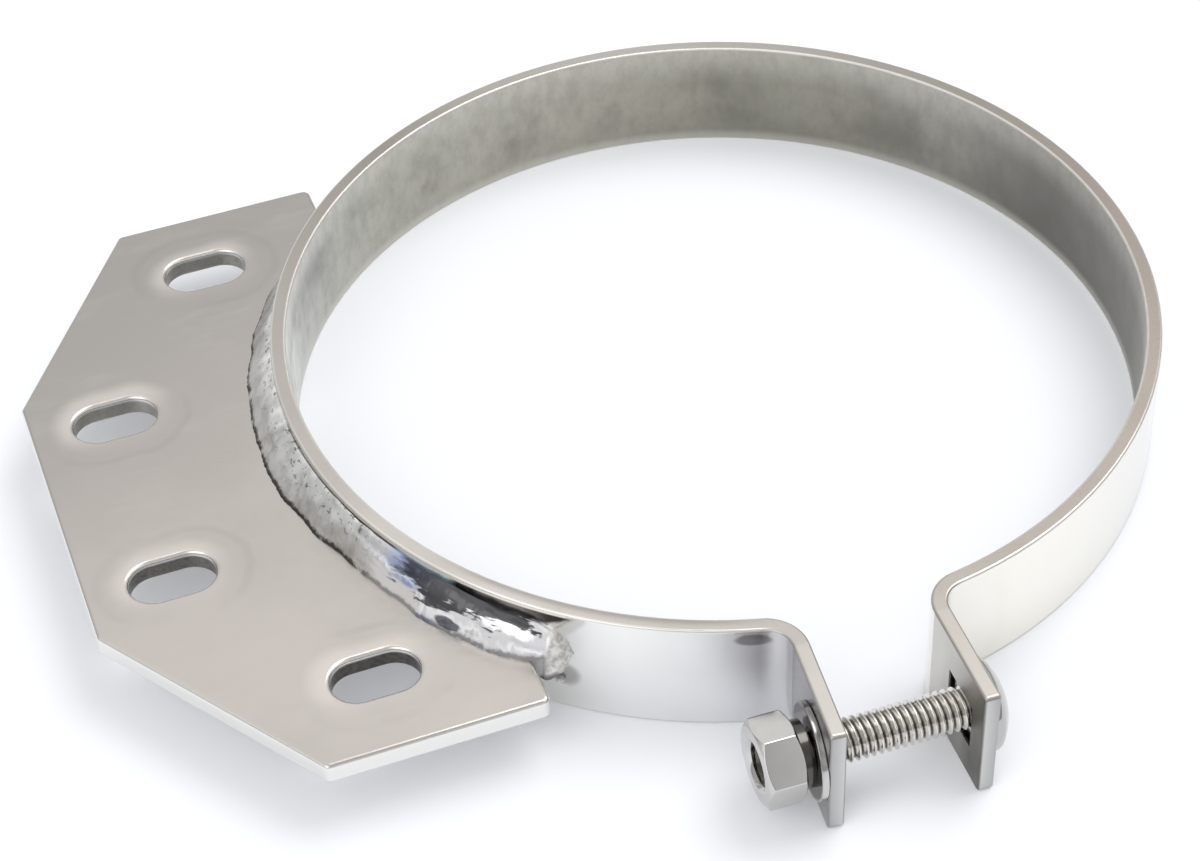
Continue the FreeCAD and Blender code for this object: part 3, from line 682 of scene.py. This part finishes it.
def bandSteel():
    material, bench = newMaterial("bandSteel")
    point, (x, y, z) = placeOnPiece(bench)
    radius = (x * x + y * y) ** 0.5
    azimuth = y.maths("ARCTAN2", x) * (180 / math.pi)
    # the share of a turn, from 0 at the plate past the ears at 0.24 and back to the plate
    turn = (azimuth + 180) / 360
    lean = math.radians(bandFinish["earAzimuth"])
    along = x * math.cos(lean) + y * math.sin(lean)
    across = x * -math.sin(lean) + y * math.cos(lean)
    cloud = speckle(bench, point, 26, 4, 0.62)
    smear = speckle(bench, point, 60, 4, 0.6, (1, 1, 0.35))
    grain = speckle(bench, point, 900, 3, 0.7)

    # the rim's two edges, satin with a painted highlight line along each corner
    least, most = bandFinish["insideRadius"], bandFinish["outsideRadius"]
    rimHighlight = radius.fade(most - 0.6, most - 0.2) + radius.fade(least + 0.6, least + 0.2)
    rimHighlight = rimHighlight.smaller(1) * (radius < most + 0.1)
    # the bright lines stop at the two bends
    fromEars = (azimuth - bandFinish["earAzimuth"]).size()
    rimHighlight = rimHighlight * fromEars.fade(*bandFinish["bendAngles"])
    # painted reflection: the rim's tone goes lighter and darker round the ring
    rim = turn.ramp(
        (0.0, paint(186, 181, 175)),
        (0.06, paint(200, 196, 189)),
        (0.12, paint(204, 200, 193)),
        (0.18, paint(188, 184, 178)),
        (0.24, paint(178, 174, 168)),
        (0.30, paint(168, 161, 153)),
        (0.40, paint(170, 161, 153)),
        (0.50, paint(162, 153, 146)),
        (0.58, paint(158, 153, 145)),
        (0.68, paint(184, 181, 174)),
        (0.75, paint(190, 188, 181)),
        (0.84, paint(158, 153, 145)),
        (0.92, paint(176, 171, 164)),
        (1.0, paint(186, 181, 175)),
    )
    # next to the weld's near half the rim is darker towards the inside
    rimShade = radius.fade(84.6, 83.0) * (azimuth + 126).size().fade(24, 12)
    rim = (rimShade * 0.5).blend(rim, paint(120, 114, 107))
    rim = (rimHighlight * 0.7).blend(rim, paint(234, 232, 226))
    rim = (smear.fade(0.3, 0.7) * 0.16).blend(rim, paint(140, 136, 129))

    # inside wall, as rolled: satin with clouds; its tone round the ring is painted reflection and
    # shade, darkest on the side away from the plate
    inner = turn.ramp(
        (0.0, paint(198, 197, 192)),
        (0.12, paint(196, 195, 190)),
        (0.45, paint(136, 134, 129)),
        (0.54, paint(124, 122, 117)),
        (0.59, paint(158, 155, 147)),
        (0.67, paint(150, 148, 136)),
        (0.75, paint(172, 169, 157)),
        (0.84, paint(182, 180, 169)),
        (0.90, paint(194, 193, 187)),
        (0.93, paint(212, 212, 207)),
        (0.955, paint(240, 241, 236)),
        (1.0, paint(198, 197, 192)),
    )
    # painted light, lighter towards the top edge
    inner = z.fade(3, 11.5, 0, 0.36).blend(inner, paint(218, 216, 208))
    # painted shade in dark clouds across the middle of the wall
    cloudShade = (cloud + (smear - 0.5) * 0.5).fade(0.4, 0.62) * z.size().fade(11, 4) * 0.5
    inner = cloudShade.blend(inner, paint(104, 102, 94))
    mottle = speckle(bench, point, 380, 4, 0.7, (1, 1, 0.6))
    inner = (mottle.fade(0.35, 0.7) * 0.22).blend(inner, paint(110, 108, 101))
    # painted light along the bottom edge
    inner = (z.fade(-9, -11.4) * 0.55).blend(inner, paint(214, 212, 202))

    # outside wall, polished; its tone round the ring is painted reflection
    outer = turn.ramp(
        (0.0, bandFinish["outer"]),
        (0.16, paint(240, 240, 237)),
        (0.19, paint(222, 221, 220)),
        (0.203, paint(196, 195, 198)),
        (0.22, paint(222, 221, 220)),
        (0.29, bandFinish["outerWarm"]),
        (0.42, paint(228, 227, 222)),
        (0.6, bandFinish["outer"]),
    )
    outer = (smear.fade(0.45, 0.8) * 0.12).blend(outer, paint(188, 186, 182))
    # painted reflection, lighter low on the wall beside the left bend
    low = z.fade(4, -7) * (azimuth + 112).size().fade(17, 9)
    outer = (low * 0.6).blend(outer, paint(242, 242, 244))
    # a dark lens under the rim, next to the left bend
    lens = ((azimuth + 107.4) / 2.3) ** 2 + ((z - 9.6) / 1.5) ** 2
    outer = (lens.fade(1.2, 0.5) * 0.75).blend(outer, bandFinish["darkLens"])
    # painted shadow on the wall under the weld's near end, round the spatter
    tipShadow = ((azimuth + 129.8) * 1.5) ** 2 + (z + 3.4) ** 2
    outer = (tipShadow.fade(12, 2) * 0.55).blend(outer, paint(104, 102, 98))
    # heat tint on the wall above the upper weld: dark, with a painted cyan reflection in its middle
    floorOf = z - 5.5 - (azimuth + 135).larger(0) * 0.75 + (smear - 0.5) * 3
    tinted = (azimuth + 156).size().fade(32, 28) * floorOf.fade(0, 1.2) * z.fade(11.3, 10.9)
    heat = (azimuth + 148.8).size().fade(5.2, 3.4).blend(bandFinish["heat"], bandFinish["cyanReflection"])
    outer = (tinted * smear.fade(0.25, 0.5, 0.75, 1)).blend(outer, heat)

    # ears
    start, stop = bandFinish["earStart"], bandFinish["earStop"]
    wallTop = bandFinish["wallTop"]
    onEarFace = (along > start) * (along < stop) * (z.size() < wallTop)
    # inner faces lie nearer to each other than the middle of the bar, which splays outward
    tip, middle = bandFinish["earTipMiddle"]
    innerFace = across.size() + (along * -1 + tip) * bandFinish["earSplay"] < middle
    # painted shade on the inner faces, darker towards the tip and lower down
    far = (along - z * 0.35).fade(90, 108)
    dull = innerFace * onEarFace
    earInside = (far * 0.7 + smear.fade(0.4, 0.7) * 0.35).smaller(1).blend(
        bandFinish["earInner"], bandFinish["earInnerShade"]
    )
    # painted shade on the outer faces, darker towards the tip
    earOutside = (along.fade(92, 104) * 0.6 + cloud.fade(0.35, 0.7) * 0.3).smaller(1).blend(
        bandFinish["earOuter"], paint(138, 137, 136)
    )
    ear = innerFace.blend(earOutside, earInside)
    ear = along.fade(stop, stop + 0.4).blend(ear, bandFinish["earEnd"])

    onEar = (along > start) * (across.size() < 30)
    inside = radius < least + 0.3
    wall = inside.blend(outer, inner)
    wall = onEar.blend(wall, ear)
    onRim = z.size().fade(wallTop - 0.25, wallTop)
    colour = onRim.blend(wall, rim)
    roughness = 0.1 + inside * 0.28 + onRim * 0.16 + onEar * 0.1 + dull * 0.2 + grain * 0.04
    height = cloud * 0.7 + smear * 0.3 + grain * 0.03
    bump = bench.node("Bump", None, {"Strength": 0.22, "Distance": 0.0004, "Height": height})
    shader = bench.node(
        "BsdfPrincipled",
        None,
        {"Base Color": colour, "Metallic": 1.0, "Roughness": roughness, "Normal": bump},
    )
    finishMaterial(bench, shader)
    return material


# mounting plate finish, with the dished and buffed margin round each slot, which carries a painted
# sheen
plateFinish = {
    "slots": ((-114.3, 22.35), (-87.1, 58.6)),
    "slotRadius": 5.0,
    "slotStraight": 3.1,
    "haloWidth": 4.8,
    "top": 2.7,
    "bottom": -1.7,
}


def plateSteel():
    material, bench = newMaterial("plateSteel")
    point, (x, y, z) = placeOnPiece(bench)
    cloud = speckle(bench, point, 24, 4, 0.6)
    streak = speckle(bench, point, 90, 4, 0.65, (0.35, 1, 1))
    grain = speckle(bench, point, 1100, 3, 0.7)
    away, halo = None, None
    width = plateFinish["haloWidth"]
    for slotX, slotY in plateFinish["slots"]:
        overX = ((x - slotX).size() - plateFinish["slotStraight"]).larger(0)
        overY = y.size() - slotY
        gap = (overX * overX + overY * overY) ** 0.5 - plateFinish["slotRadius"]
        # a painted sheen on the buffed margin, brighter towards +Y and -X
        lean = overY * ((y > 0) * 2 - 1) - (x - slotX) * 0.4
        buffedSheen = (gap + (cloud - 0.5) * 6).fade(width, 0.5) * lean.fade(-6, 5, 0.12, 0.62)
        away = gap if away is None else away.smaller(gap)
        halo = buffedSheen if halo is None else halo.larger(buffedSheen)
    dish = away.fade(0.4, width)

    # painted reflection: the top is lighter towards -Y and +X
    near = (y * -1 + (x + 110) * 0.5).fade(-62, 62)
    colour = near.ramp(
        (0.0, paint(168, 164, 160)),
        (0.35, paint(180, 175, 170)),
        (0.7, paint(192, 186, 180)),
        (1.0, paint(194, 188, 182)),
    )
    colour = (cloud.fade(0.35, 0.75) * 0.35).blend(colour, paint(164, 160, 155))
    colour = (streak.fade(0.5, 0.85) * 0.25).blend(colour, paint(206, 202, 195))
    # painted sheen round the slots
    colour = halo.blend(colour, paint(220, 213, 207))
    # a faint darker ring just outside each slot's halo
    haloEdge = (away + (streak - 0.5) * 4 - width * 1.25).size().fade(1.4, 0.2) * cloud.fade(0.4, 0.6)
    colour = (haloEdge * 0.1).blend(colour, paint(130, 127, 122))
    # rounded top rims carry painted highlights and side faces painted light; the slots' walls get
    # painted shade
    top, bottom = plateFinish["top"], plateFinish["bottom"]
    side = z.fade(top - 1.1, top - 1.6) * z.fade(bottom + 0.8, bottom + 1.3)
    edge = z.fade(top - 0.04, top - 0.4)
    inSlot = away < 0.9
    colour = (edge * 0.85).blend(colour, paint(240, 239, 236))
    colour = (side * 0.9).blend(colour, paint(232, 231, 227))
    # painted shade on the slots' walls, darker towards -Y
    slotWallShade = (grain.fade(0.4, 0.7) * 0.25 + y.fade(40, -50) * 0.85).smaller(1).blend(
        paint(170, 167, 160), paint(84, 82, 78)
    )
    colour = (inSlot * z.fade(top - 0.7, top - 1.3)).blend(colour, slotWallShade)
    height = cloud * 0.6 + streak * 0.2 + grain * 0.006 + dish * 0.09
    bump = bench.node("Bump", None, {"Strength": 0.5, "Distance": 0.0005, "Height": height})
    roughness = 0.22 + cloud * 0.08
    shader = bench.node(
        "BsdfPrincipled",
        None,
        {"Base Color": colour, "Metallic": 1.0, "Roughness": roughness, "Normal": bump},
    )
    finishMaterial(bench, shader)
    return material


# bolt, nut and washers: colours, and the radius at each washer's rim
fastenerFinish = {
    "steel": paint(206, 204, 201),
    "lockSteel": paint(192, 190, 187),
    # the nut's thread is painted dark: painted shade inside the nut's bore
    "nutThread": paint(92, 89, 84),
    "flatRim": 8.75,
    "lockRim": 7.44,
}


def fastenerSteel(name, threaded=False, colour=fastenerFinish["steel"], rim=0):
    material, bench = newMaterial(name)
    point, (x, y, z) = placeOnPiece(bench)
    cloud = speckle(bench, point, 150, 3, 0.5)
    colour = (cloud.fade(0.35, 0.75) * 0.2).blend(colour, paint(168, 166, 162))
    if threaded or rim:
        # how far outward from the bolt's line
        turn = math.radians(bolt["turn"])
        offX, offY = x - bolt["middle"][0], y - bolt["middle"][1]
        along = offX * math.cos(turn) + offY * math.sin(turn)
        across = offY * math.cos(turn) - offX * math.sin(turn)
        depth = (across * across + z * z) ** 0.5
    if rim:
        # a washer's faces inside its rim are painted darker: painted shade where the parts press
        # together
        colour = depth.fade(rim - 0.1, rim - 0.6).blend(colour, paint(88, 86, 83))
    if threaded:
        # painted shade in the valleys between the crests
        onShank = along.fade(bolt["neckStart"] + 0.9, bolt["neckStart"] + 0.5)
        valleyShade = depth.fade(bolt["root"] + 0.34, bolt["root"] + 0.03) * onShank
        colour = (onShank * 0.5).blend(colour, paint(238, 234, 226))
        colour = (valleyShade * 0.9).blend(colour, paint(74, 69, 61))
        # painted shade: the domed head is darker than the shank
        head = along.fade(bolt["seat"] - 0.1, bolt["seat"] + 0.1)
        colour = head.blend(colour, paint(186, 184, 181))
    bump = bench.node("Bump", None, {"Strength": 0.15, "Distance": 0.0001, "Height": cloud})
    shader = bench.node(
        "BsdfPrincipled",
        None,
        {
            "Base Color": colour,
            "Metallic": 1.0,
            "Roughness": cloud.fade(0.3, 0.7, 0.1, 0.16),
            "Normal": bump,
        },
    )
    finishMaterial(bench, shader)
    return material


# weld finish: azimuths in degrees and heights in millimetres
weldFinish = {
    "arcRadius": 0.0885,
    "plateMiddle": 0.5,
    "tip": (228.4, 229.2),
    "farEndDark": (164, 146),
    "polished": (200, 206),
    "dark": (206.5, 210),
    "blueMiddle": 210.5,
    "spotMiddle": (216.4, 4.2),
    "spotSize": (1.9, 1.1),
}


def weldMetal():
    material, bench = newMaterial("weldMetal")
    _, (x, y, z) = placeOnPiece(bench)
    radius = (x * x + y * y) ** 0.5
    azimuth = y.maths("ARCTAN2", x) * (180 / math.pi)
    # the noise follows the bead's curve
    arc = azimuth * (math.pi / 180 * weldFinish["arcRadius"])
    run = bench.node("CombineXYZ", None, {"X": arc, "Y": radius / 1000, "Z": z / 1000})
    around = azimuth + (azimuth < 0) * 360
    tip = around.fade(*weldFinish["tip"])
    # the height, mirrored about the plate's middle so that both beads look alike
    rise = (z - weldFinish["plateMiddle"]).size() + weldFinish["plateMiddle"]
    streak = speckle(bench, run, 110, 4, 0.55, (0.4, 1.5, 1.5))
    wisp = speckle(bench, run, 420, 4, 0.6, (0.25, 1.2, 1.2))
    pits = speckle(bench, run, 900, 3, 0.6)
    cloud = speckle(bench, run, 240, 3, 0.6)
    # matt and pitted up to the middle, where pits gather along the band
    dull = cloud.fade(0.35, 0.7).blend(paint(240, 240, 238), paint(206, 206, 204))
    pitted = pits.fade(0.58, 0.66) * rise.fade(5.5, 8.5, 0.1, 0.8)
    # darker streaks, lower down and towards the bead's far end
    farEndDark = streak.fade(0.4, 0.6) * 0.6 + rise.fade(6.5, 4) * 0.3
    farEndDark = around.fade(*weldFinish["farEndDark"]) * farEndDark
    dull = pitted.blend(dull, paint(96, 95, 93))
    dull = farEndDark.blend(dull, paint(88, 86, 83))
    # then polished, with painted reflections: white below with hints of blue, near black along the
    # band
    white = streak.ramp(
        (0.0, paint(196, 196, 198)),
        (0.42, paint(222, 222, 226)),
        (0.50, paint(246, 246, 248)),
        (1.0, paint(253, 253, 253)),
    )
    # painted blue reflection
    blue = (around - weldFinish["blueMiddle"]).size().fade(6, 2.5) * streak.fade(0.55, 0.42)
    white = (blue * 0.8).blend(white, paint(150, 166, 208))
    spotAround, spotRise = weldFinish["spotMiddle"]
    spotLength, spotHeight = weldFinish["spotSize"]
    # painted dark reflection in a spot on the polished stretch
    spot = ((around - spotAround) / spotLength) ** 2 + ((rise - spotRise) / spotHeight) ** 2
    spot = (spot + (wisp - 0.5) * 2).fade(1.2, 0.7)
    white = (spot * 0.85).blend(white, paint(58, 60, 82))
    # painted dark reflection along the band
    high = rise + (wisp - 0.5) * 11 + (streak - 0.5) * 9 - (around - 216).size().fade(4, 12, 0, 1.5)
    high = high.fade(6.6, 7.4) * (around + (wisp - 0.5) * 12).fade(*weldFinish["dark"])
    white = (high * 0.92).blend(white, paint(38, 37, 42))
    polished = (around + (wisp - 0.5) * 10).fade(*weldFinish["polished"])
    colour = polished.blend(dull, white)
    toe = (rise + (pits - 0.5) * 1.6).fade(3.9, 3.2) * cloud.fade(0.3, 0.44)
    colour = (toe * (0.9 - polished * 0.3)).blend(colour, paint(52, 50, 48))
    lump = pits.fade(0.3, 0.7).blend(paint(232, 231, 228), paint(178, 176, 172))
    colour = tip.blend(colour, lump)
    # painted shadow low on the bead's near end, below the plate's top
    under = z.fade(0.4, -0.8) * z.fade(-3.4, -2.6) * around.fade(222, 225)
    colour = (under * 0.8).blend(colour, paint(54, 52, 50))
    roughness = 0.34 - polished * 0.18 + tip * 0.3
    height = cloud * 0.3 + pits * 0.12 + streak * 0.15 + tip * pits * 1.6
    bump = bench.node("Bump", None, {"Strength": 0.35, "Distance": 0.0003, "Height": height})
    # the white stretch stays bright where it mirrors the darker side of the studio
    metallic = 1 - (polished * 0.45 + tip * 0.5).smaller(0.6)
    shader = bench.node(
        "BsdfPrincipled",
        None,
        {"Base Color": colour, "Metallic": metallic, "Roughness": roughness, "Normal": bump},
    )
    finishMaterial(bench, shader)
    return material


makeCamera()
makeStudio()
print("camera, floor and lamps made")

dress(cadNodes["clamp_band"], bandSteel())
dress(cadNodes["mount_plate"], plateSteel())
hardware = fastenerSteel("fastenerSteel")
for name in ("carriage_bolt", "hex_nut"):
    dress(cadNodes[name], hardware)
flat = fastenerSteel("flatWasherSteel", rim=fastenerFinish["flatRim"])
lock = fastenerSteel(
    "lockWasherSteel", colour=fastenerFinish["lockSteel"], rim=fastenerFinish["lockRim"]
)
dress(cadNodes["flat_washer"], flat)
dress(cadNodes["lock_washer"], lock)
weld = weldMetal()
for name in ("weld_bead_upper", "weld_bead_lower"):
    dress(cadNodes[name], weld)
makeBolt(fastenerSteel("threadedSteel", threaded=True))
makeNut(hardware)
makeNutThread(fastenerSteel("nutThreadSteel", colour=fastenerFinish["nutThread"]))
makeUpperWeld(weld)
print("materials and pieces made")

scene = bpy.context.scene
scene.view_settings.view_transform = "Standard"
